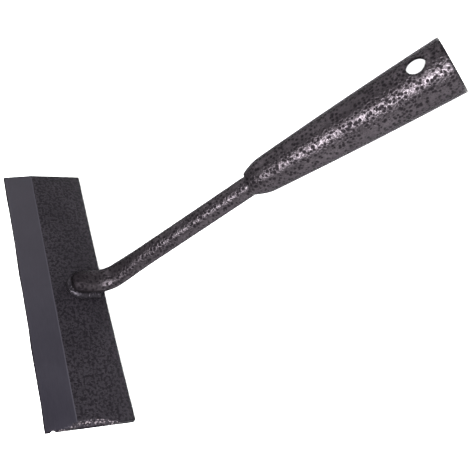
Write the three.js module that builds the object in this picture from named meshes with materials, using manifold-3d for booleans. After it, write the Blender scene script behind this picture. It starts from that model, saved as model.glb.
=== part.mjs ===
// Head of a draw hoe: a long flat blade with a ground cutting strip, a round steel neck whose
// flattened foot is welded on the blade's face, and a tapered tube socket for a wooden handle.
// Millimetres, +Z up. X runs along the blade, Y from the cutting edge to the socket's mouth.
// The head lies on its back: the blade's rear edge and the rim of the mouth touch the ground.
import * as THREE from "three";
import { mergeVertices } from "three/addons/utils/BufferGeometryUtils.js";
import Module from "manifold-3d";

const wasm = await Module();
wasm.setup();

// Blade
const bladeLength = 177.8;
const bladeDepth = 49.2;
const bladeThickness = 3.5;
const stripWidth = 17.4; // ground strip along the cutting edge
const edgeThickness = 0.8; // steel left at the cutting edge
const bladeTilt = THREE.MathUtils.degToRad(51.7); // from the ground

// Socket, a tube round an axis that is level when the head lies on its back
const mouthRadius = 16.4;
const smallRadius = 9.6;
const socketLength = 124.4;
const socketWall = 2;
const socketSwell = 0.6; // how far the taper bulges out half way along
const shoulderLength = 11; // stretch that is swaged down on to the neck
const shoulderEndRadius = 7.1;
const endWall = 2.6;
const holeRadius = 5.3;
const holeFromMouth = 17.1;
const sideHoleTurn = THREE.MathUtils.degToRad(99.5); // round from the upper hole
const sideHoleFromMouth = 15.7;
const sideHoleRadius = 6.2;

// Neck, a round bar
const neckRadius = 6.25;
const neckSlope = THREE.MathUtils.degToRad(5.4); // climb towards the socket
const neckDrop = 1.2; // below the socket's axis where it enters the socket
const neckBendRadius = 14;
const neckInsideSocket = 24;
const footHalfWidth = 7.6;
const footHalfHeight = 5.1;
const footFadeLength = 24; // stretch over which the flattened foot turns round again
const toeOffset = 3.5; // from the blade's middle line towards its rear edge
const toeLength = 7; // stretch that rounds off at the very end
const toeBlunt = 0.4; // share of the section left at the end

// Weld that runs up one side of the foot, round the toe and down the other side
const beadRadius = 3.3;
const beadHeight = 1.5; // of its middle above the blade's face
const beadStandoff = 0.3; // of its middle outside the foot
const beadEndOffset = 19.5; // from the blade's middle line towards its rear edge

const gap = 0.3; // clearance between pieces that touch
const roundSides = 48;
const barSides = 32;
const beadSides = 14;

const socketAxisHeight = mouthRadius;
const halfDepth = bladeDepth / 2;
const bladeCentreHeight = halfDepth * Math.sin(bladeTilt) + bladeThickness * Math.cos(bladeTilt);
const mouthY = 253.6; // from the middle of the blade's face
const smallEndY = mouthY - socketLength;

const smoothstep = THREE.MathUtils.smoothstep;

function solidOf(geometry) {
  const bare = geometry.clone();
  bare.deleteAttribute("normal");
  bare.deleteAttribute("uv");
  const merged = mergeVertices(bare, 1e-4);
  return new wasm.Manifold(new wasm.Mesh({
    numProp: 3,
    vertProperties: new Float32Array(merged.attributes.position.array),
    triVerts: new Uint32Array(merged.index.array),
  }));
}

function geometryOf(solid) {
  const mesh = solid.getMesh();
  const geometry = new THREE.BufferGeometry();
  geometry.setAttribute("position", new THREE.BufferAttribute(mesh.vertProperties, 3));
  geometry.setIndex(new THREE.BufferAttribute(mesh.triVerts, 1));
  geometry.computeVertexNormals();
  return geometry;
}

function namedMesh(name, geometry, look) {
  const mesh = new THREE.Mesh(geometry, new THREE.MeshStandardMaterial(look));
  mesh.name = name;
  return mesh;
}

// Local axes of the blade: X along it, Y across its depth to the rear edge, Z out of its face.
function bladeFrame() {
  const frame = new THREE.Group();
  frame.rotation.x = -bladeTilt;
  frame.position.z = bladeCentreHeight;
  frame.updateMatrix();
  return frame;
}

const onBlade = bladeFrame();

function bladeGeometry() {
  const section = new THREE.Shape();
  section.moveTo(-halfDepth, -bladeThickness);
  section.lineTo(halfDepth, -bladeThickness);
  section.lineTo(halfDepth, 0);
  section.lineTo(stripWidth - halfDepth, 0);
  section.lineTo(-halfDepth, edgeThickness - bladeThickness);
  section.closePath();
  const geometry = new THREE.ExtrudeGeometry(section, { depth: bladeLength, bevelEnabled: false });
  geometry.rotateY(Math.PI / 2);
  geometry.rotateX(Math.PI / 2);
  geometry.translate(-bladeLength / 2, 0, 0);
  return geometry;
}

// Centre line of the neck in the Y-Z plane: along the blade's face, one bend, straight on.
function neckLine() {
  const across = new THREE.Vector2(Math.cos(bladeTilt), -Math.sin(bladeTilt));
  const outward = new THREE.Vector2(Math.sin(bladeTilt), Math.cos(bladeTilt));
  const climb = new THREE.Vector2(Math.cos(neckSlope), Math.sin(neckSlope));
  const toe = new THREE.Vector2(0, bladeCentreHeight);
  toe.addScaledVector(across, toeOffset).addScaledVector(outward, footHalfHeight + gap);
  const entry = new THREE.Vector2(smallEndY, socketAxisHeight - neckDrop);
  const between = entry.clone().sub(toe);
  const turn = bladeTilt + neckSlope;
  const toCorner = between.cross(climb) / across.cross(climb);
  const corner = toe.clone().addScaledVector(across, toCorner);
  const tangent = neckBendRadius * Math.tan(turn / 2);
  const bendStart = corner.clone().addScaledVector(across, -tangent);
  const bendCentre = bendStart.clone().addScaledVector(outward, neckBendRadius);
  const end = entry.clone().addScaledVector(climb, neckInsideSocket);
  const path = new THREE.Path();
  path.moveTo(toe.x, toe.y);
  path.lineTo(bendStart.x, bendStart.y);
  path.absarc(
    bendCentre.x, bendCentre.y, neckBendRadius,
    -Math.PI / 2 - bladeTilt, -Math.PI / 2 + neckSlope, false,
  );
  path.lineTo(end.x, end.y);
  return { path, fadeStart: toCorner };
}

// Half width and half height of the bar at a distance from the toe, and how far its middle sinks
// so that the rounded toe keeps its underside on the blade.
function neckSection(distance, fadeStart) {
  const round = smoothstep(distance, fadeStart, fadeStart + footFadeLength);
  const left = 1 - Math.min(distance / toeLength, 1);
  const plan = toeBlunt + (1 - toeBlunt) * Math.sqrt(1 - left * left);
  const width = THREE.MathUtils.lerp(footHalfWidth, neckRadius, round);
  const height = THREE.MathUtils.lerp(footHalfHeight, neckRadius, round);
  const low = 0.5 + 0.5 * plan;
  return { width: width * plan, height: height * low, sink: height * (1 - low) };
}

// Places along the neck where a section is drawn: close together at the toe and in the bend.
function neckStations(length, fadeStart) {
  const toe = Array.from({ length: 8 }, (_, i) => toeLength * (1 - Math.cos((i * Math.PI) / 16)));
  const bendEnd = fadeStart + footFadeLength;
  const bend = Array.from({ length: 23 }, (_, i) => toeLength + ((bendEnd - toeLength) * i) / 23);
  const rest = Array.from({ length: 13 }, (_, i) => bendEnd + ((length - bendEnd) * i) / 12);
  return [...toe, ...bend, ...rest];
}

function neckGeometry(extra = 0) {
  const { path, fadeStart } = neckLine();
  const length = path.getLength();
  const stations = neckStations(length, fadeStart);
  const steps = stations.length - 1;
  const geometry = new THREE.CylinderGeometry(1, 1, steps, barSides, steps);
  const position = geometry.attributes.position;
  for (let i = 0; i < position.count; i += 1) {
    const distance = stations[Math.round(position.getY(i) + steps / 2)];
    const share = Math.min(distance / length, 1);
    const middle = path.getPointAt(share);
    const along = path.getTangentAt(share);
    const section = neckSection(distance, fadeStart);
    const side = position.getX(i) * (section.width + extra);
    const lift = position.getZ(i) * (section.height + extra) - section.sink;
    position.setXYZ(i, side, middle.x - along.y * lift, middle.y + along.x * lift);
  }
  geometry.computeVertexNormals();
  return geometry;
}

function socketOuterRadius(distance) {
  const share = distance / socketLength;
  const cone = THREE.MathUtils.lerp(smallRadius, mouthRadius, share);
  const swell = socketSwell * 4 * share * (1 - share);
  const left = 1 - Math.min(distance / shoulderLength, 1);
  return cone + swell - (cone + swell - shoulderEndRadius) * left * left;
}

function socketTube() {
  const outer = [];
  const inner = [];
  const shoulderSteps = 6;
  const taperSteps = 10;
  for (let i = 0; i <= shoulderSteps; i += 1) {
    outer.push((shoulderLength * i) / shoulderSteps);
  }
  for (let i = 1; i <= taperSteps; i += 1) {
    outer.push(shoulderLength + ((socketLength - shoulderLength) * i) / taperSteps);
  }
  const boreEnd = shoulderEndRadius - socketWall;
  const profile = outer.map((y) => new THREE.Vector2(socketOuterRadius(y), y));
  for (const y of outer) {
    if (y > endWall) {
      inner.unshift(new THREE.Vector2(socketOuterRadius(y) - socketWall, y));
    }
  }
  profile.push(...inner);
  profile.push(new THREE.Vector2(socketOuterRadius(endWall) - socketWall, endWall));
  profile.push(new THREE.Vector2(boreEnd, endWall));
  profile.push(new THREE.Vector2(boreEnd, 0));
  profile.push(profile[0].clone());
  const tube = new THREE.LatheGeometry(profile, roundSides);
  tube.translate(0, smallEndY, socketAxisHeight);
  return tube;
}

// A drill that goes through one wall of the socket, turned round the socket's axis.
function holeDrill(radius, turn, fromMouth) {
  const drill = new THREE.CylinderGeometry(radius, radius, mouthRadius, barSides);
  drill.translate(0, mouthRadius, 0);
  drill.rotateX(Math.PI / 2);
  drill.rotateY(-turn);
  drill.translate(0, mouthY - fromMouth, socketAxisHeight);
  return drill;
}

function socketGeometry() {
  let solid = solidOf(socketTube());
  solid = solid.subtract(solidOf(neckGeometry(gap)));
  solid = solid.subtract(solidOf(holeDrill(holeRadius, 0, holeFromMouth)));
  solid = solid.subtract(solidOf(holeDrill(sideHoleRadius, sideHoleTurn, sideHoleFromMouth)));
  return geometryOf(solid);
}

// Middle line of the weld, in the blade's own axes.
function beadPath() {
  const half = footHalfWidth + beadStandoff;
  const toeTop = toeOffset + toeLength;
  const reach = toeLength + beadStandoff;
  const points = [new THREE.Vector3(half, beadEndOffset, beadHeight)];
  const turns = 10;
  for (let i = 0; i <= turns; i += 1) {
    const angle = (Math.PI * i) / turns;
    points.push(new THREE.Vector3(
      half * Math.cos(angle), toeTop - reach * Math.sin(angle), beadHeight,
    ));
  }
  points.push(new THREE.Vector3(-half, beadEndOffset, beadHeight));
  return new THREE.CatmullRomCurve3(points, false, "centripetal");
}

function footWeldGeometry() {
  const section = new THREE.Shape();
  section.absarc(0, 0, beadRadius, 0, Math.PI * 2, false);
  const bead = new THREE.ExtrudeGeometry(section, {
    steps: 40, curveSegments: beadSides, bevelEnabled: false, extrudePath: beadPath(),
  });
  const neck = neckGeometry(gap);
  neck.applyMatrix4(onBlade.matrix.clone().invert());
  const plate = new THREE.BoxGeometry(bladeLength, bladeDepth, bladeThickness + beadRadius);
  plate.translate(0, 0, gap - (bladeThickness + beadRadius) / 2);
  const solid = solidOf(bead).subtract(solidOf(plate)).subtract(solidOf(neck));
  return geometryOf(solid);
}

const hammeredPaint = { color: 0x4a444c, roughness: 0.35, metalness: 0.6 };
const weldPaint = { color: 0x433e45, roughness: 0.4, metalness: 0.6 };

const hoeHead = new THREE.Group();
onBlade.add(namedMesh("blade", bladeGeometry(), hammeredPaint));
onBlade.add(namedMesh("foot_weld", footWeldGeometry(), weldPaint));
hoeHead.add(onBlade);
hoeHead.add(namedMesh("neck", neckGeometry(), hammeredPaint));
hoeHead.add(namedMesh("socket", socketGeometry(), hammeredPaint));

// The origin is the middle of the underside of the box round the head.
const extent = new THREE.Box3().setFromObject(hoeHead);
const middle = extent.getCenter(new THREE.Vector3());
hoeHead.position.set(-middle.x, -middle.y, -extent.min.z);

export default hoeHead;
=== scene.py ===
import math
import bmesh
import bpy
from mathutils import Matrix, Vector


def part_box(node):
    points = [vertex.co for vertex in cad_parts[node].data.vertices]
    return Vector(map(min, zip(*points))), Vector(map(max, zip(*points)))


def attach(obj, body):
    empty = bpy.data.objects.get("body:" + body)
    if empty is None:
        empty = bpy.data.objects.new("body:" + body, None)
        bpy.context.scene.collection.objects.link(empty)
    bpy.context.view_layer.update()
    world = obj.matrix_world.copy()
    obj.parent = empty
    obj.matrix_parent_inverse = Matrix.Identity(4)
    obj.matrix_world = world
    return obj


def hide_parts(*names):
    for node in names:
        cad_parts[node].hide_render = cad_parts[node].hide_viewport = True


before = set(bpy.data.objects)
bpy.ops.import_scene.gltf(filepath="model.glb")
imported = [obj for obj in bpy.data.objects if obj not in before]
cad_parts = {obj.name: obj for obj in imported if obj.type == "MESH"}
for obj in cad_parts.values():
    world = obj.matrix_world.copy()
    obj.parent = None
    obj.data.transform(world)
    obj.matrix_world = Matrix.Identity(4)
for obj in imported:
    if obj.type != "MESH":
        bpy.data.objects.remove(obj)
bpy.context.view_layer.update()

mm = 0.001


def deselectAll():
    if bpy.context.object and bpy.context.object.mode == "EDIT":
        bpy.ops.object.mode_set(mode="OBJECT")
    bpy.ops.object.select_all(action="DESELECT")


def keepActive(name):
    piece = bpy.context.object
    piece.name = name
    piece.data.name = name
    return piece


def openEdit(piece, kind="VERT"):
    bpy.context.view_layer.objects.active = piece
    bpy.ops.object.mode_set(mode="EDIT")
    bpy.ops.mesh.select_mode(type=kind)


def closeEdit():
    bpy.ops.object.mode_set(mode="OBJECT")


def pick(piece, test, kind="verts"):  # selects what passes the test, by place or normal
    mesh = bmesh.from_edit_mesh(piece.data)
    for face in mesh.faces:
        face.select_set(False)
    for edge in mesh.edges:
        edge.select_set(False)
    for vert in mesh.verts:
        vert.select_set(False)
    found = 0
    for item in getattr(mesh, kind):
        if test(item):
            item.select_set(True)
            found += 1
    mesh.select_flush_mode()
    bmesh.update_edit_mesh(piece.data)
    return found


def cut(spot, normal):  # a straight cut right through the piece
    bpy.ops.mesh.select_all(action="SELECT")
    bpy.ops.mesh.bisect(plane_co=spot, plane_no=normal)


def applyModifier(piece, kind, **settings):
    deselectAll()
    piece.select_set(True)
    bpy.context.view_layer.objects.active = piece
    modifier = piece.modifiers.new(kind.lower(), kind)
    for key, value in settings.items():
        setattr(modifier, key, value)
    bpy.ops.object.modifier_apply(modifier=modifier.name)


def soften(piece, width, steps, degrees):  # bevels the edges sharper than an angle
    applyModifier(piece, "BEVEL", width=width * mm, segments=steps, limit_method="ANGLE",
                  angle_limit=math.radians(degrees))


def outward(piece):
    openEdit(piece)
    bpy.ops.mesh.select_all(action="SELECT")
    bpy.ops.mesh.remove_doubles(threshold=0.01 * mm)
    bpy.ops.mesh.normals_make_consistent(inside=False)
    closeEdit()


def smooth(piece, degrees):
    deselectAll()
    piece.select_set(True)
    bpy.context.view_layer.objects.active = piece
    bpy.ops.object.shade_smooth_by_angle(angle=math.radians(degrees))


def place(piece, matrix):  # puts a piece made flat at the origin where it belongs, in its mesh
    deselectAll()
    piece.select_set(True)
    bpy.context.view_layer.objects.active = piece
    piece.matrix_world = matrix
    bpy.ops.object.transform_apply(location=True, rotation=True, scale=True)


class Value:  # a socket that can be used in sums
    def __init__(self, sheet, socket):
        self.sheet = sheet
        self.socket = socket

    def maths(self, operation, first, second):
        return self.sheet.node("ShaderNodeMath", {"operation": operation}, {0: first, 1: second})

    def __add__(self, other):
        return self.maths("ADD", self, other)

    def __radd__(self, other):
        return self.maths("ADD", other, self)

    def __sub__(self, other):
        return self.maths("SUBTRACT", self, other)

    def __rsub__(self, other):
        return self.maths("SUBTRACT", other, self)

    def __mul__(self, other):
        return self.maths("MULTIPLY", self, other)

    def __rmul__(self, other):
        return self.maths("MULTIPLY", other, self)

    def __truediv__(self, other):
        return self.maths("DIVIDE", self, other)

    def __rtruediv__(self, other):
        return self.maths("DIVIDE", other, self)

    def orMore(self, other):  # the larger of the two
        return self.maths("MAXIMUM", self, other)

    def clamped(self):  # kept between 0 and 1
        return self.sheet.node("ShaderNodeClamp", None, {0: self})


class Sheet:  # the node sheet of one material
    def __init__(self, name):
        self.material = bpy.data.materials.new(name)
        self.material.use_nodes = True
        self.tree = self.material.node_tree
        self.surface = self.tree.nodes["Principled BSDF"]

    def node(self, kind, settings=None, inputs=None, output=0):
        made = self.tree.nodes.new(kind)
        for key, value in (settings or {}).items():
            setattr(made, key, value)
        for key, value in (inputs or {}).items():
            self.link(made.inputs[key], value)
        return Value(self, made.outputs[output])

    def link(self, socket, value):
        if isinstance(value, Value):
            self.tree.links.new(value.socket, socket)
        else:
            socket.default_value = value

    def set(self, **values):  # sockets of the surface shader
        for key, value in values.items():
            self.link(self.surface.inputs[key.replace("_", " ")], value)

    def step(self, value, low, high):  # 0 below low, 1 above high, smooth between
        settings = {"interpolation_type": "SMOOTHSTEP", "clamp": True}
        return self.node("ShaderNodeMapRange", settings, {0: value, 1: low, 2: high, 3: 0.0, 4: 1.0})

    def blend(self, share, first, second):  # mixes two colours
        return self.node("ShaderNodeMix", {"data_type": "RGBA"}, {0: share, 6: first, 7: second}, 2)

    def noise(self, coords, scale, detail, output=0):
        return self.node("ShaderNodeTexNoise", None, {0: coords, 2: scale, 3: detail}, output)

    def vector(self, operation, inputs, output=0):
        return self.node("ShaderNodeVectorMath", {"operation": operation}, inputs, output)

    def axis(self, coords, number):  # 0, 1 or 2 for X, Y or Z
        return self.node("ShaderNodeSeparateXYZ", None, {0: coords}, number)

    def bump(self, strength, depth, height):
        relief = {"Strength": strength, "Distance": depth, "Height": height}
        self.set(Normal=self.node("ShaderNodeBump", None, relief))


# Camera, lights and floor. The floor is lit past white, to stay plain, and the paints are dark to suit
camera = {
    "eye": (0.23894, 0.09533, 0.33973),
    "right": (0.29101, 0.83954, -0.45879),
    "up": (-0.79401, 0.47945, 0.37371),
    "lens": 55.96,
    "sensor": 36.0,
}
studio = {
    "keyPower": 78.0, "keySize": (1.35, 0.42), "keyPlace": (0.68, 0.04, 0.88),
    "fillPower": 13.0, "fillSize": (1.2, 1.2), "fillPlace": (-0.95, -0.15, 0.85),
    "world": (0.8, 0.8, 0.82), "worldStrength": 0.40,
    "floorSize": 6.0, "floorColour": (0.93, 0.93, 0.93, 1.0), "floorRough": 0.9,
}


def makeCamera():
    lens = bpy.data.cameras.new("camera")
    lens.lens = camera["lens"]
    lens.sensor_width = camera["sensor"]
    lens.clip_start = 10 * mm
    seat = bpy.data.objects.new("camera", lens)
    bpy.context.scene.collection.objects.link(seat)
    right = Vector(camera["right"]).normalized()
    up = Vector(camera["up"])
    up = (up - right * up.dot(right)).normalized()
    turn = Matrix((right, up, right.cross(up))).transposed()
    seat.matrix_world = Matrix.Translation(camera["eye"]) @ turn.to_4x4()
    bpy.context.scene.camera = seat


def softLight(name, spot, size, power):
    lamp = bpy.data.lights.new(name, "AREA")
    lamp.shape = "ELLIPSE"
    lamp.size, lamp.size_y = size
    lamp.energy = power
    stand = bpy.data.objects.new(name, lamp)
    bpy.context.scene.collection.objects.link(stand)
    stand.location = spot
    stand.rotation_euler = (-Vector(spot)).to_track_quat("-Z", "Y").to_euler()


def makeStudio():
    softLight("key", studio["keyPlace"], studio["keySize"], studio["keyPower"])
    softLight("fill", studio["fillPlace"], studio["fillSize"], studio["fillPower"])
    world = bpy.data.worlds.new("studio")
    world.use_nodes = True
    sky = world.node_tree.nodes["Background"]
    sky.inputs["Color"].default_value = (*studio["world"], 1.0)
    sky.inputs["Strength"].default_value = studio["worldStrength"]
    bpy.context.scene.world = world
    bpy.context.scene.view_settings.view_transform = "Standard"
    deselectAll()
    bpy.ops.mesh.primitive_plane_add(size=studio["floorSize"], location=(0, 0, 0))
    floor = keepActive("floor")
    paper = Sheet("palePaper")
    paper.set(Base_Color=studio["floorColour"], Roughness=studio["floorRough"])
    paper.surface.inputs["Specular IOR Level"].default_value = 0.0
    floor.data.materials.append(paper.material)


makeCamera()
makeStudio()
print("studio ready")

# Blade, made flat: X along it, Y across to the rear edge, Z out of its front face
blade = {
    "length": 177.8, "depth": 49.2, "thickness": 3.5, "tilt": 51.7,
    "strip": 17.4, "edge": 0.8,  # width of the ground strip, and the steel left at its edge
    "rearBow": 0.7, "edgeWear": 0.18,
    "endRound": {"middle": -1.0, "half": 17.5, "deep": 3.7, "drop": 2.3, "onStrip": 0.45, "spare": 0.4},
    "nick": {"at": -20.1, "deep": 1.2},
    "lines": (-22.0, -20.1, -18.3, -16, -13, -10, -4.5, -1.5, 1.5, 4.5, 7.5, 10.5, 13.5, 16),
    "spans": 7, "softEdge": 0.2, "softSteps": 3,
}
bladeLow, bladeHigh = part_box("blade")
tilt = math.radians(blade["tilt"])
rearTop = Vector((0, bladeHigh.y, blade["thickness"] * mm * math.cos(tilt)))
acrossBlade = Vector((0, math.cos(tilt), -math.sin(tilt)))
bladeMiddle = rearTop - acrossBlade * (blade["depth"] / 2 * mm)
bladePlace = Matrix.Translation(bladeMiddle) @ Matrix.Rotation(-tilt, 4, "X")


# Paints: hammered enamel full of small pits, and the smoother enamel over the ground strip
hammer = {
    "socket": {
        "light": (0.0345, 0.0300, 0.0335, 1.0), "dark": (0.0025, 0.0018, 0.0025, 1.0), "shade": 0.97,
        "cells": 530.0, "pit": 0.70, "small": 0.35, "worms": 0.0, "rippled": 0.45,
        "metallic": 0.88, "rough": 0.28, "dull": 0.32, "bump": 0.85,
    },
    "blade": {
        "light": (0.0215, 0.0190, 0.0230, 1.0), "dark": (0.0025, 0.002, 0.003, 1.0), "shade": 0.97,
        "cells": 660.0, "pit": 0.60, "small": 0.3, "worms": 0.85, "rippled": 0.6,
        "metallic": 0.6, "rough": 0.40, "dull": 0.1, "bump": 0.9,
    },
    "weld": {
        "light": (0.0150, 0.0135, 0.0160, 1.0), "dark": (0.003, 0.0025, 0.0035, 1.0), "shade": 0.9,
        "cells": 560.0, "pit": 0.58, "small": 0.4, "worms": 0.6, "rippled": 0.8,
        "metallic": 0.7, "rough": 0.20, "dull": 0.2, "bump": 1.0,
    },
}
texture = {  # what the three hammered paints share
    "core": 0.5, "fade": 1.1,  # a pit is full inside the first share of its size, gone past the second
    "smallCells": 1.9, "driftScale": 1.3, "rippleScale": 0.9,  # times the scale of the pits
    "broadScale": 42.0, "grainScale": 2100.0,
    "drift": 0.5, "wormFrom": 0.42, "wormTo": 0.60,
    "patchFrom": 0.3, "patchTo": 0.7, "patch": 0.3,
    "pitMetal": 0.4, "grainRough": 0.12, "broadRough": 0.1, "grainShade": 0.3,
    "grainHeight": 0.03, "depth": 0.22,
}
shine = {"level": 0.2, "tint": (0.35, 0.34, 0.36, 1.0)}  # keeps the paint from glaring at its rims
strip = {
    "far": (0.0190, 0.0176, 0.0215, 1.0), "near": (0.0090, 0.0082, 0.0117, 1.0),
    "wearAndSheen": (0.031, 0.029, 0.036, 1.0),
    "stretch": 0.06, "lineScale": 2600.0, "broadScale": 24.0, "fineScale": 900.0,
    "broadWear": 0.3, "lineWear": 0.3,
    "line": 0.6, "lineFrom": 0.9, "lineTo": 0.3,  # painted highlight along the boundary with the hammered paint, where its edge catches the light
    "edge": 0.35, "edgeReach": 0.9,  # and wear along the cutting edge
    "metallic": 0.35, "fineMetal": 0.1, "rough": 0.42, "lineRough": 0.14, "broadRough": 0.08,
    "bump": 0.12, "depth": 0.04, "lineHeight": 0.6, "fineHeight": 0.4,
}
edgeShade = {"from": 1.0, "to": 0.35, "share": 0.95, "rough": 0.45, "line": 0.4}  # painted shade along the blade's edges; line is the width of the shaded bands at the mouth and neck
footShade = {"from": -110, "to": -96, "dim": 0.22, "rough": 0.2}  # painted shade on the neck's foot; where along Y, in millimetres
# painted highlight: bright specks in the colour of the near end's rounding
paintedGlint = {
    "colour": (0.14, 0.120, 0.129, 1.0), "scale": 900.0, "from": 0.52, "to": 0.66, "share": 0.75,
    "start": 0.4, "fadeFrom": 1.5, "fadeTo": 3.0,
}


def bladeWise(sheet):  # places measured along the blade instead of along the world
    coords = sheet.node("ShaderNodeTexCoord", output=3)
    inputs = {0: coords, 1: tuple(bladeMiddle), 2: (-tilt, 0, 0)}
    return sheet.node("ShaderNodeMapping", {"vector_type": "TEXTURE"}, inputs)


def paintedEdgeShadeOf(sheet, coords):  # 1 along the blade's four edges, where shade is painted
    spots = sheet.vector("ABSOLUTE", {0: coords})
    parts = []
    for number, reach in ((0, blade["length"] / 2), (1, blade["depth"] / 2)):
        away = sheet.axis(spots, number)
        parts.append(sheet.step(away, (reach - edgeShade["from"]) * mm, (reach - edgeShade["to"]) * mm))
    return parts[0].orMore(parts[1])


def paintedEndGlint(sheet, coords):  # painted highlight: bright specks on the rounding of the near end, where it catches the light
    shape = blade["endRound"]
    along = sheet.axis(coords, 0)
    across = sheet.axis(coords, 1)
    share = (across - shape["middle"] * mm) * (1 / (shape["half"] * mm))
    arc = (1.0 - share * share) * (shape["deep"] * mm) + (along - blade["length"] / 2 * mm)
    faded = sheet.step(arc, paintedGlint["fadeFrom"] * mm, paintedGlint["fadeTo"] * mm)
    inside = sheet.step(arc, 0.0, paintedGlint["start"] * mm) * (1.0 - faded)
    spots = sheet.noise(coords, paintedGlint["scale"], 2.0)
    return inside * sheet.step(spots, paintedGlint["from"], paintedGlint["to"]) * paintedGlint["share"]


def warp(sheet, coords, cells):  # pushes places about, so that no pit is quite round
    drift = sheet.noise(coords, cells * texture["driftScale"], 1.0, 1)
    shift = sheet.vector("SUBTRACT", {0: drift, 1: (0.5, 0.5, 0.5)})
    pushed = sheet.vector("SCALE", {0: shift, 3: texture["drift"] / cells})
    return sheet.vector("ADD", {0: coords, 1: pushed})


def pitsOf(sheet, warped, paint):  # large and small pits, 1 in their middle
    layers = []
    for scale in (paint["cells"], paint["cells"] * texture["smallCells"]):
        away = sheet.node("ShaderNodeTexVoronoi", None, {0: warped, 2: scale}, 0)
        tint = sheet.node("ShaderNodeTexVoronoi", None, {0: warped, 2: scale}, 1)
        chance = sheet.node("ShaderNodeSeparateColor", None, {0: tint}, 0)
        size = (0.5 + 0.5 * chance) * paint["pit"]
        layers.append(1.0 - sheet.step(away / size, texture["core"], texture["fade"]))
    return layers[0].orMore(layers[1] * paint["small"])


# turned: the pattern lies along the blade. foot, shadedEdgesAndGlint and shadePast paint shade on the foot,
# along the blade's edges and past shadePast along lean; shadedEdgesAndGlint also paints a highlight on the
# near end's rounding.
def hammered(name, paint, turned=False, foot=False, shadedEdgesAndGlint=False, shadePast=None, lean=(0, 1, 0)):
    sheet = Sheet(name)
    plain = sheet.node("ShaderNodeTexCoord", output=3)
    coords = bladeWise(sheet) if turned else plain
    warped = warp(sheet, coords, paint["cells"])
    pit = pitsOf(sheet, warped, paint)
    broad = sheet.noise(coords, texture["broadScale"], 3.0)
    grain = sheet.noise(coords, texture["grainScale"], 2.0)
    ripple = sheet.noise(warped, paint["cells"] * texture["rippleScale"], 1.0)
    if paint["worms"]:  # winding furrows between the pits
        pit = pit.orMore(sheet.step(ripple, texture["wormFrom"], texture["wormTo"]) * paint["worms"])
    patch = sheet.step(broad, texture["patchFrom"], texture["patchTo"]) * texture["patch"]
    light = sheet.blend(patch, paint["light"], paint["dark"])
    metallic = paint["metallic"] * (1.0 - pit * texture["pitMetal"])
    rough = paint["rough"] + (grain - 0.5) * texture["grainRough"]
    rough = rough + (broad - 0.5) * texture["broadRough"] + pit * paint["dull"]
    if foot:  # painted shade darkens the flattened foot to the blade's tone, and its paint is duller
        along = sheet.axis(plain, 1)
        near = 1.0 - sheet.step(along, footShade["from"] * mm, footShade["to"] * mm)
        light = sheet.blend(near * (1.0 - footShade["dim"]), light, paint["dark"])
        rough = rough + near * footShade["rough"]
    # painted shade along the blade's edges
    if shadedEdgesAndGlint:
        edge = paintedEdgeShadeOf(sheet, coords) * edgeShade["share"]
        light = sheet.blend(edge, light, paint["dark"])
        metallic = metallic * (1.0 - edge)
        rough = rough + edge * edgeShade["rough"]
    if shadePast is not None:  # painted shade past a line round the bar or tube: the socket's mouth edge, and the neck where it enters the socket
        along = sheet.vector("DOT_PRODUCT", {0: plain, 1: lean}, 1)
        edge = sheet.step(along, shadePast, shadePast + edgeShade["line"] * mm) * edgeShade["share"]
        light = sheet.blend(edge, light, paint["dark"])
        metallic = metallic * (1.0 - edge)
    shade = (pit * paint["shade"] + (grain - 0.5) * texture["grainShade"]).clamped()
    colour = sheet.blend(shade, light, paint["dark"])
    if shadedEdgesAndGlint:
        # painted highlight on the near end's rounding
        colour = sheet.blend(paintedEndGlint(sheet, coords), colour, paintedGlint["colour"])
    sheet.set(Base_Color=colour, Metallic=metallic, Roughness=rough)
    sheet.set(Specular_IOR_Level=shine["level"], Specular_Tint=shine["tint"])
    height = paint["rippled"] * ripple + texture["grainHeight"] * grain - pit
    sheet.bump(paint["bump"], texture["depth"] * mm, height)
    return sheet.material


def groundStrip():
    sheet = Sheet("groundEnamel")
    coords = bladeWise(sheet)
    stretched = sheet.node("ShaderNodeMapping", None, {0: coords, 3: (strip["stretch"], 1.0, 1.0)})
    lines = sheet.noise(stretched, strip["lineScale"], 3.0)
    broad = sheet.noise(coords, strip["broadScale"], 3.0)
    fine = sheet.noise(coords, strip["fineScale"], 2.0)
    along = sheet.axis(coords, 0)
    across = sheet.axis(coords, 1)
    low = -blade["depth"] / 2
    high = low + blade["strip"]
    line = sheet.step(across, (high - strip["lineFrom"]) * mm, (high - strip["lineTo"]) * mm)
    cutting = 1.0 - sheet.step(across, low * mm, (low + strip["edgeReach"]) * mm)
    # wear, and a painted highlight along the boundary with the hammered paint
    wearAndSheen = broad * strip["broadWear"] + (lines - 0.5) * strip["lineWear"] + line * strip["line"]
    half = blade["length"] / 2 * mm
    # painted shade: the strip lighter towards the far end and darker towards the near end
    tone = sheet.blend(sheet.step(along, -half, half), strip["far"], strip["near"])
    tone = sheet.blend((wearAndSheen + cutting * strip["edge"]).clamped(), tone, strip["wearAndSheen"])
    # painted shade along the blade's edges
    edge = paintedEdgeShadeOf(sheet, coords) * edgeShade["share"]
    tone = sheet.blend(edge, tone, hammer["blade"]["dark"])
    rough = strip["rough"] + (lines - 0.5) * strip["lineRough"] + (broad - 0.5) * strip["broadRough"]
    # the colour carries a painted highlight on the near end's rounding
    sheet.set(
        Base_Color=sheet.blend(paintedEndGlint(sheet, coords), tone, paintedGlint["colour"]),
        Metallic=(strip["metallic"] + (fine - 0.5) * strip["fineMetal"]) * (1.0 - edge),
        Roughness=rough,
        Specular_IOR_Level=shine["level"],
        Specular_Tint=shine["tint"],
    )
    sheet.bump(strip["bump"], strip["depth"] * mm, lines * strip["lineHeight"] + fine * strip["fineHeight"])
    return sheet.material


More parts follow.
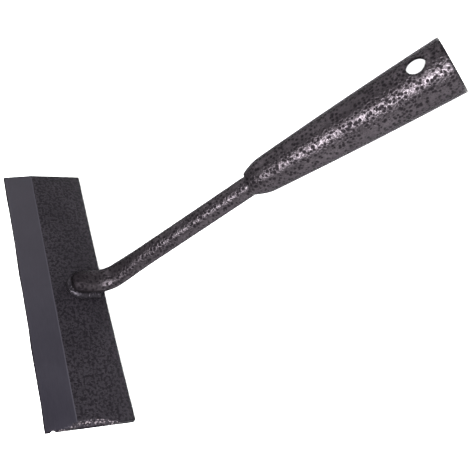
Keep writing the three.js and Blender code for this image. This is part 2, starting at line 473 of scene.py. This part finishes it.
def endDepth(y):  # how far the rounding of the near end reaches in, at a place across the blade
    shape = blade["endRound"]
    share = 1 - ((y - shape["middle"]) / shape["half"]) ** 2
    return shape["deep"] * max(share, 0.0)


def moveBlade(piece, x, y, shift, upper=False):  # moves the corners at one place, or only the upper one
    near = 0.05 * mm
    under = topOf(y) - blade["edge"] / 2 * mm

    def there(vert):
        flat = abs(vert.co.x - x * mm) < near and abs(vert.co.y - y * mm) < near
        return flat and (not upper or vert.co.z > under)

    if pick(piece, there):
        bpy.ops.transform.translate(value=tuple(v * mm for v in shift))


def topOf(y):  # height of the front face, which drops along the ground strip
    half = blade["depth"] / 2
    inside = min((y + half) / blade["strip"], 1.0)
    return (inside - 1.0) * (blade["thickness"] - blade["edge"]) * mm


def makeBlade():
    half = blade["depth"] / 2
    end = blade["length"] / 2
    thick = blade["thickness"]
    deselectAll()
    bpy.ops.mesh.primitive_cube_add(size=1, location=(0, 0, -thick / 2 * mm))
    piece = keepActive("bladeForged")
    piece.scale = (2 * end * mm, 2 * half * mm, thick * mm)
    bpy.ops.object.transform_apply(location=True, rotation=True, scale=True)
    openEdit(piece)
    stripSide = blade["strip"] - half
    cut((0, stripSide * mm, 0), (0, 1, 0))
    pick(piece, lambda v: v.co.y < (1 - half) * mm and v.co.z > -0.1 * mm)
    bpy.ops.transform.translate(value=(0, 0, (blade["edge"] - thick) * mm))
    for y in blade["lines"]:
        cut((0, y * mm, 0), (0, 1, 0))
    shape = blade["endRound"]
    inner = end - shape["deep"] - shape["spare"]
    cut((inner * mm, 0, 0), (1, 0, 0))
    spans = blade["spans"]
    lengths = [inner * (i / spans - 1) for i in range(1, 2 * spans)]
    for x in lengths:
        cut((x * mm, 0, 0), (1, 0, 0))
    for y in (*blade["lines"], stripSide):
        deep = endDepth(y)
        if deep <= 0.05:
            continue
        moveBlade(piece, inner, y, (end - inner - deep, 0, 0), upper=True)
        fall = shape["drop"] * deep / shape["deep"] * (shape["onStrip"] if y < stripSide else 1)
        moveBlade(piece, end, y, (0, 0, -fall), upper=True)
    for x in lengths:
        bow = blade["rearBow"] * (1 - (x / end) ** 2)
        moveBlade(piece, x, half, (0, -bow, 0))
        waves = math.sin(x * 0.11) + 0.5 * math.sin(x * 0.29 + 1)
        moveBlade(piece, x, -half, (0, blade["edgeWear"] * (1 + waves), 0))
    moveBlade(piece, end, blade["nick"]["at"], (-blade["nick"]["deep"], 0, 0))
    closeEdit()
    outward(piece)
    soften(piece, blade["softEdge"], blade["softSteps"], 24)
    openEdit(piece, "EDGE")

    def onStripLine(edge):
        return all(abs(v.co.y - stripSide * mm) < 0.05 * mm and v.co.z > -1 * mm for v in edge.verts)

    pick(piece, onStripLine, "edges")
    bpy.ops.mesh.mark_sharp()
    closeEdit()
    piece.data.materials.append(hammered("hammeredBlade", hammer["blade"], True, shadedEdgesAndGlint=True))
    piece.data.materials.append(groundStrip())
    openEdit(piece, "FACE")
    upward = math.cos(math.radians(25))
    pick(piece, lambda f: f.normal.z > upward and f.calc_center_median().y < stripSide * mm, "faces")
    piece.active_material_index = 1
    bpy.ops.object.material_slot_assign()
    closeEdit()
    place(piece, bladePlace)
    smooth(piece, 20)
    return piece


bladeForged = makeBlade()
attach(bladeForged, "root")
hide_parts("blade")
print("blade forged")

# Neck: a round bar, flattened at the foot, bent once and straight into the socket
neck = {
    "radius": 6.25, "slope": 5.4, "drop": 1.2, "bendRadius": 14.0,
    "footWide": 7.6, "footHigh": 5.1, "fade": 24.0,
    "toeOffset": 3.5, "toeRound": 7.0, "toeBlunt": 0.36,
    "inside": 24.0, "stand": 0.1, "sides": 20,
    "toeRings": 6, "bendRings": 7, "fadeRings": 6, "farRings": 8, "darkBefore": 1.3,
}
socketLow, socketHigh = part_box("socket")
socketAxis = (socketLow.z + socketHigh.z) / 2


def neckRing(distance, fadeStart):  # half width, half height and sink of the bar there
    away = min(max((distance - fadeStart) / neck["fade"], 0), 1)
    turned = away * away * (3 - 2 * away)
    left = 1 - min(distance / neck["toeRound"], 1)
    plan = neck["toeBlunt"] + (1 - neck["toeBlunt"]) * math.sqrt(1 - left * left)
    wide = neck["footWide"] + (neck["radius"] - neck["footWide"]) * turned
    high = neck["footHigh"] + (neck["radius"] - neck["footHigh"]) * turned
    low = 0.5 + 0.5 * plan
    return wide * plan * mm, high * low * mm, high * (1 - low) * mm


def makeNeck():
    slope = math.radians(neck["slope"])
    climb = Vector((0, math.cos(slope), math.sin(slope)))
    outOfBlade = Vector((0, math.sin(tilt), math.cos(tilt)))
    toe = bladeMiddle + acrossBlade * (neck["toeOffset"] * mm)
    toe += outOfBlade * ((neck["footHigh"] + neck["stand"]) * mm)
    entry = Vector((0, socketLow.y, socketAxis - neck["drop"] * mm))
    between = entry - toe
    turn = tilt + slope
    toCorner = (between.y * climb.z - between.z * climb.y) / math.sin(turn)
    tangent = neck["bendRadius"] * mm * math.tan(turn / 2)
    flat = toCorner - tangent
    deselectAll()
    bpy.ops.mesh.primitive_circle_add(
        vertices=neck["sides"], radius=1 * mm, fill_type="NGON", rotation=(math.pi / 2, 0, 0),
    )
    piece = keepActive("neckForged")
    bpy.ops.object.transform_apply(location=True, rotation=True, scale=True)
    openEdit(piece, "FACE")
    fadeStart = toCorner / mm
    now = [1 * mm, 1 * mm, 0.0, 0.0]  # half width, half height, sink and distance so far

    def reshape(distance):
        wide, high, sink = neckRing(distance / mm, fadeStart)
        bpy.ops.transform.resize(value=(wide / now[0], 1, high / now[1]))
        bpy.ops.transform.translate(value=(0, 0, now[2] - sink))
        now[0:3] = [wide, high, sink]

    def extend(distance):
        step = distance - now[3]
        bpy.ops.mesh.extrude_region_move(TRANSFORM_OT_translate={"value": (0, step, 0)})
        now[3] = distance
        reshape(distance)

    bpy.ops.mesh.select_all(action="SELECT")
    reshape(0.0)
    for i in range(1, neck["toeRings"] + 1):
        extend(neck["toeRound"] * mm * (1 - math.cos(i * math.pi / 2 / neck["toeRings"])))
    extend(flat)
    bendMiddle = (0, flat, neck["bendRadius"] * mm)
    bpy.ops.mesh.spin(steps=neck["bendRings"], angle=-turn, center=bendMiddle, axis=(1, 0, 0))
    closeEdit()
    outward(piece)
    place(piece, Matrix.Rotation(-turn, 4, "X"))  # lays the straight stretch along Y
    openEdit(piece, "FACE")
    farthest = max(v.co.y for v in piece.data.vertices)
    pick(piece, lambda f: f.normal.y > 0.99 and f.calc_center_median().y > farthest - 0.1 * mm, "faces")
    now[3] += neck["bendRadius"] * mm * turn
    fadeStart = now[3] / mm
    toEnd = (entry - toe - acrossBlade * toCorner).length - tangent + neck["inside"] * mm
    straight = now[3]
    fade = neck["fade"] * mm
    for i in range(1, neck["fadeRings"] + 1):
        extend(straight + fade * i / neck["fadeRings"])
    for i in range(1, neck["farRings"] + 1):
        extend(straight + fade + (toEnd - fade) * i / neck["farRings"])
    closeEdit()
    outward(piece)
    applyModifier(piece, "SUBSURF", levels=2, render_levels=2)
    place(piece, Matrix.Translation(toe) @ Matrix.Rotation(slope, 4, "X"))
    smooth(piece, 60)
    return piece


neckForged = makeNeck()
# painted shade on the neck where it goes into the socket, as in a crevice
neckShadeLine = socketLow.y - neck["darkBefore"] * mm
neckForged.data.materials.append(hammered("hammeredNeck", hammer["socket"], foot=True, shadePast=neckShadeLine))
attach(neckForged, "root")
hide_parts("neck")
print("neck bent")

# Socket: a tapered tube, swaged down on to the neck, with two screw holes near its mouth
socket = {
    "small": 9.6, "wall": 2.0, "swell": 0.6, "shoulder": 11.0, "shoulderEnd": 7.1,
    "sides": 96, "shoulderRings": 8, "taperRings": 24, "rimSoft": 0.22,
    "hole": {"radius": 5.3, "turn": 0, "fromMouth": 17.1},
    "sideHole": {"radius": 6.2, "turn": 99.5, "fromMouth": 15.7},  # so that one can see through the upper
    "holeSides": 48, "holeSoft": 0.3,
    "mouthTilt": 5.0, "tiltX": 0.595, "tiltZ": 0.804, "mouthBack": 0.5, "mouthRim": 1.4,
}
socketLength = (socketHigh.y - socketLow.y) / mm
mouthRadius = (socketHigh.x - socketLow.x) / 2 / mm


def socketRadius(distance):
    share = distance / socketLength
    cone = socket["small"] + (mouthRadius - socket["small"]) * share
    cone += socket["swell"] * 4 * share * (1 - share)
    left = 1 - min(distance / socket["shoulder"], 1)
    return cone - (cone - socket["shoulderEnd"]) * left * left


def drillHole(piece, hole):  # through one wall, turned round the socket's axis
    deselectAll()
    bpy.ops.mesh.primitive_cylinder_add(
        vertices=socket["holeSides"], radius=hole["radius"] * mm, depth=mouthRadius * mm,
        location=(0, 0, mouthRadius * mm),
    )
    drill = keepActive("drill")
    bpy.ops.object.transform_apply(location=True, rotation=True, scale=True)
    spot = Vector((0, socketHigh.y - hole["fromMouth"] * mm, socketAxis))
    place(drill, Matrix.Translation(spot) @ Matrix.Rotation(-math.radians(hole["turn"]), 4, "Y"))
    applyModifier(piece, "BOOLEAN", object=drill, operation="DIFFERENCE", solver="EXACT")
    bpy.data.objects.remove(drill)


def makeSocket():
    deselectAll()
    bpy.ops.mesh.primitive_circle_add(
        vertices=socket["sides"], radius=socketRadius(0) * mm, rotation=(math.pi / 2, 0, 0),
        location=(0, socketLow.y, socketAxis),
    )
    piece = keepActive("socketSwaged")
    bpy.ops.object.transform_apply(location=True, rotation=True, scale=True)
    openEdit(piece, "EDGE")
    bpy.ops.mesh.select_all(action="SELECT")
    steps = socket["shoulderRings"]
    shoulder = [socket["shoulder"] * i / steps for i in range(1, steps + 1)]
    steps = socket["taperRings"]
    rest = socketLength - socket["shoulder"]
    taper = [socket["shoulder"] + rest * i / steps for i in range(1, steps + 1)]
    before = 0.0
    for distance in shoulder + taper:
        step = (distance - before) * mm
        bpy.ops.mesh.extrude_region_move(TRANSFORM_OT_translate={"value": (0, step, 0)})
        grow = socketRadius(distance) / socketRadius(before)
        middle = (0, socketLow.y + distance * mm, socketAxis)
        bpy.ops.transform.resize(value=(grow, 1, grow), center_override=middle)
        before = distance
    closeEdit()
    outward(piece)
    applyModifier(piece, "SOLIDIFY", thickness=socket["wall"] * mm, offset=-1.0, use_even_offset=True)
    soften(piece, socket["rimSoft"], 3, 50)
    openEdit(piece)
    pick(piece, lambda v: v.co.y > socketHigh.y - 3 * mm)
    for axis, share in (("Z", socket["tiltX"]), ("X", -socket["tiltZ"])):  # faces it a little to X and Z
        bpy.ops.transform.rotate(
            value=math.radians(socket["mouthTilt"] * share), orient_axis=axis, orient_type="GLOBAL",
            center_override=(0, socketHigh.y - socket["mouthBack"] * mm, socketAxis),
        )
    closeEdit()
    drillHole(piece, socket["hole"])
    drillHole(piece, socket["sideHole"])
    soften(piece, socket["holeSoft"], 2, 50)
    smooth(piece, 30)
    return piece


socketSwaged = makeSocket()
# painted shade along the socket's mouth edge
lean = math.tan(math.radians(socket["mouthTilt"]))
mouthLean = (lean * socket["tiltX"], 1, lean * socket["tiltZ"])
mouthShadeLine = socketHigh.y + mouthLean[2] * socketAxis - socket["mouthRim"] * mm
socketPaint = hammered("hammeredSocket", hammer["socket"], shadePast=mouthShadeLine, lean=mouthLean)
socketSwaged.data.materials.append(socketPaint)
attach(socketSwaged, "root")
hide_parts("socket")
print("socket swaged and drilled")

# Weld: one bead up a side of the foot, round the toe and down the other side
weld = {
    "radius": 3.1, "height": 1.2, "standoff": -0.9, "from": 20.5,
    "sides": 12, "runs": 12, "round": 18, "ripple": 0.32,
}


def makeWeld():
    reach = (neck["footWide"] + weld["standoff"]) * mm
    toeTop = (neck["toeOffset"] + neck["toeRound"]) * mm
    deselectAll()
    bpy.ops.mesh.primitive_circle_add(
        vertices=weld["sides"], radius=weld["radius"] * mm, fill_type="NGON", rotation=(math.pi / 2, 0, 0),
        location=(reach, weld["from"] * mm, weld["height"] * mm),
    )
    piece = keepActive("footBead")
    bpy.ops.object.transform_apply(location=True, rotation=True, scale=True)
    openEdit(piece, "FACE")
    bpy.ops.mesh.select_all(action="SELECT")
    step = (weld["from"] * mm - toeTop) / weld["runs"]
    for i in range(weld["runs"]):
        bpy.ops.mesh.extrude_region_move(TRANSFORM_OT_translate={"value": (0, -step, 0)})
    toeMiddle = (0, toeTop, weld["height"] * mm)
    bpy.ops.mesh.spin(steps=weld["round"], angle=math.pi, center=toeMiddle, axis=(0, 0, 1))
    for i in range(weld["runs"]):
        bpy.ops.mesh.extrude_region_move(TRANSFORM_OT_translate={"value": (0, step, 0)})
    closeEdit()
    outward(piece)
    openEdit(piece)

    def crest(vert):  # every other ring of the bead
        if vert.co.y > toeTop + 0.1 * mm:
            run = round((vert.co.y - toeTop) / step)
        else:
            run = round(math.atan2(toeTop - vert.co.y, vert.co.x) / math.pi * weld["round"])
        return run % 2 == 0

    pick(piece, crest)
    bpy.ops.transform.shrink_fatten(value=weld["ripple"] * mm)
    closeEdit()
    applyModifier(piece, "SUBSURF", levels=2, render_levels=2)
    place(piece, bladePlace)
    smooth(piece, 60)
    return piece


footBead = makeWeld()
footBead.data.materials.append(hammered("hammeredBead", hammer["weld"], True))
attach(footBead, "root")
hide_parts("foot_weld")
print("foot welded")
